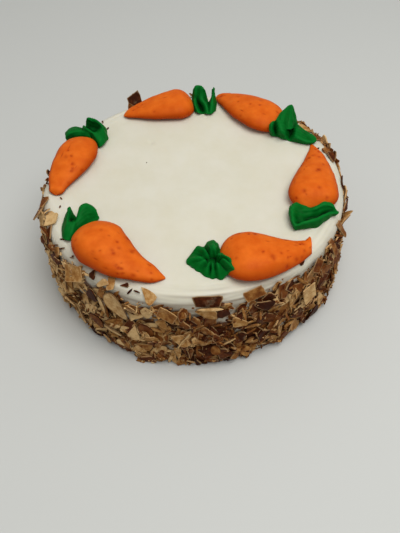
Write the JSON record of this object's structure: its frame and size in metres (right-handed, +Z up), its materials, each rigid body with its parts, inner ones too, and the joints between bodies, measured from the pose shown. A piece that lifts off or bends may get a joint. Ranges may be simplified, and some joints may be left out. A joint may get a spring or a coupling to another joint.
{
  "type": "carrot cake",
  "caption": "Round frosted carrot cake with flaked almonds pressed round its side and piped carrots with green tops round its rim.",
  "frame": {"origin": "centre of the flat base, on the surface that the cake stands on", "axes": "+Z up through the cake's middle, -Y towards the front, between the tip of one carrot and the green top of the next, +X to the right"},
  "size_m": [0.2294, 0.2304, 0.0864],
  "materials": {
    "frosting": "satin",
    "almond": "matte",
    "orange_icing": "satin",
    "green_icing": "satin"
  },
  "bodies": {
    "root": {"cake": "frosting", "carrot_1": "orange_icing", "carrot_2": "orange_icing", "carrot_3": "orange_icing", "carrot_4": "orange_icing", "carrot_5": "orange_icing", "carrot_6": "orange_icing", "carrot_top_1": "green_icing", "carrot_top_2": "green_icing", "carrot_top_3": "green_icing", "carrot_top_4": "green_icing", "carrot_top_5": "green_icing", "carrot_top_6": "green_icing"}
  },
  "joints": []
}
